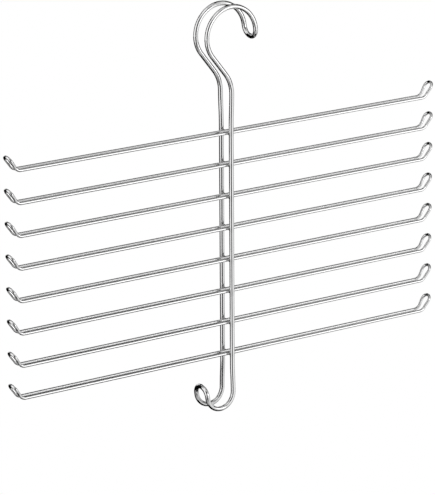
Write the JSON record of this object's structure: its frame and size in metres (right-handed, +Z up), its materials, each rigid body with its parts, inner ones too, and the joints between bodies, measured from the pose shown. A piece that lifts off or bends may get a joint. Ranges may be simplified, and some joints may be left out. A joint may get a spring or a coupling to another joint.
{
  "type": "tiered wire closet hanger",
  "caption": "Chrome wire hanger for a closet rod: a doubled spine wire with a rod hook and a tail hook, crossed by narrow welded wire rungs with turned-up ends that hold scarves or trousers.",
  "frame": {"origin": "The rod seat: the inside of the rod hook's crown, midway between the spine's two runs.", "axes": "+X to the right along the rungs, the way the rod hook opens; +Y to the rear; +Z up, the way the hanger hangs."},
  "size_m": [0.4262, 0.02, 0.3444],
  "materials": {
    "spine_chrome": "bright chrome plate on drawn steel wire",
    "rung_chrome": "bright chrome plate on drawn steel wire",
    "weld_chrome": "chrome plate over a rougher weld"
  },
  "bodies": {
    "root": {"spine_wire": "spine_chrome", "rung_1": "rung_chrome", "rung_2": "rung_chrome", "rung_3": "rung_chrome", "rung_4": "rung_chrome", "rung_5": "rung_chrome", "rung_6": "rung_chrome", "rung_7": "rung_chrome", "rung_8": "rung_chrome", "weld_front_1": "weld_chrome", "weld_front_2": "weld_chrome", "weld_front_3": "weld_chrome", "weld_front_4": "weld_chrome", "weld_front_5": "weld_chrome", "weld_front_6": "weld_chrome", "weld_front_7": "weld_chrome", "weld_front_8": "weld_chrome", "weld_rear_1": "weld_chrome", "weld_rear_2": "weld_chrome", "weld_rear_3": "weld_chrome", "weld_rear_4": "weld_chrome", "weld_rear_5": "weld_chrome", "weld_rear_6": "weld_chrome", "weld_rear_7": "weld_chrome", "weld_rear_8": "weld_chrome"}
  },
  "joints": []
}
